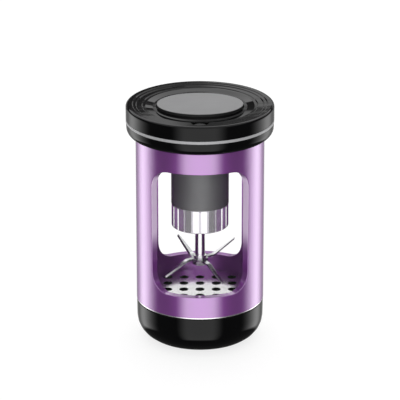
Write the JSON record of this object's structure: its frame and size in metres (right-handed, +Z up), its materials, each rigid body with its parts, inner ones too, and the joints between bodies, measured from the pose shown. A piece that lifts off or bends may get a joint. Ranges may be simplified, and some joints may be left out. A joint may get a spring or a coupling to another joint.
{
  "type": "cordless electric herb grinder",
  "caption": "Upright cordless herb grinder: rounded catch cup, windowed aluminium sleeve with clear liner and sieve, and a lid holding a press plate, battery, motor and crossed bent blades.",
  "frame": {"origin": "on the table under the centre of the cup, at the underside of the soft foot ring", "axes": "+Z up along the spindle and the centre line of cup, sleeve and lid; front with the light lens and one window towards -Y; charging socket towards +Y"},
  "size_m": [0.0736, 0.0736, 0.1232],
  "materials": {
    "black_gloss": "deep gloss",
    "soft_foot": "matt",
    "anodised_sleeve": "satin anodised purple",
    "clear_tube": "clear",
    "silicone": "soft satin",
    "polished_steel": "mirror polished",
    "blade_steel": "ground",
    "black_moulding": "fine satin",
    "satin_trim": "satin",
    "brushed_plate": "brushed grey anodised",
    "smoked_lens": "smoked gloss",
    "led_body": "moulded",
    "screw_steel": "plated",
    "board": "solder mask",
    "plated_shell": "plated",
    "cell_wrap": "shrink wrap",
    "foam": "foam",
    "dark_housing": "satin grey",
    "motor_steel": "plated",
    "magnet": "sintered",
    "carbon": "carbon",
    "bronze": "sintered bronze",
    "chrome_ring": "mirror",
    "winding": "enamelled copper"
  },
  "bodies": {
    "base": {"base_cup": "black_gloss", "foot_ring": "soft_foot"},
    "sleeve": {"window_sleeve": "anodised_sleeve", "clear_liner": "clear_tube", "liner_gasket": "silicone", "sieve_plate": "polished_steel", "lower_collar": "black_moulding", "cup_seal": "silicone"},
    "head": {"lid_ring": "black_gloss", "trim_ring": "satin_trim", "lid_cap": "black_gloss", "indicator_lens": "smoked_lens", "status_led": "led_body", "head_pan": "black_moulding", "lid_seal": "silicone", "lid_screws": "screw_steel", "return_ring": "silicone", "main_board": "board", "tact_switch": "black_moulding", "charge_port": "plated_shell", "battery_cell": "cell_wrap", "battery_cradle": "black_moulding", "battery_pad": "foam", "motor_housing": "dark_housing", "housing_screws": "screw_steel", "motor_screws": "screw_steel", "motor_can": "motor_steel", "motor_damper": "silicone", "motor_end_cap": "black_moulding", "field_magnets": "magnet", "motor_brushes": "carbon", "front_bush": "bronze", "rear_bush": "bronze", "nose_ring": "chrome_ring", "shaft_seal": "silicone"},
    "press": {"press_plate": "brushed_plate", "plate_carrier": "black_moulding", "plunger_clip": "screw_steel", "switch_button": "black_moulding"},
    "rotor": {"motor_shaft": "motor_steel", "armature": "winding", "commutator": "bronze", "spindle": "polished_steel", "upper_blade": "blade_steel", "lower_blade": "blade_steel", "blade_collar": "polished_steel", "blade_nut": "polished_steel"}
  },
  "joints": [
    {"name": "sleeve_lift", "type": "slide", "parent": "base", "child": "sleeve", "axis": [0, 0, 1], "range_m": [0, 0.03]},
    {"name": "lid_lift", "type": "slide", "parent": "sleeve", "child": "head", "axis": [0, 0, 1], "range_m": [0, 0.085]},
    {"name": "press_plate_travel", "type": "slide", "parent": "head", "child": "press", "axis": [0, 0, 1], "range_m": [-0.0004, 0], "stiffness_N_per_m": 800, "springref_m": 0.001, "deforming": ["return_ring"]},
    {"name": "rotor_spin", "type": "hinge", "parent": "head", "child": "rotor", "pos_m": [0, 0, 0.041], "axis": [0, 0, 1], "continuous": true}
  ]
}
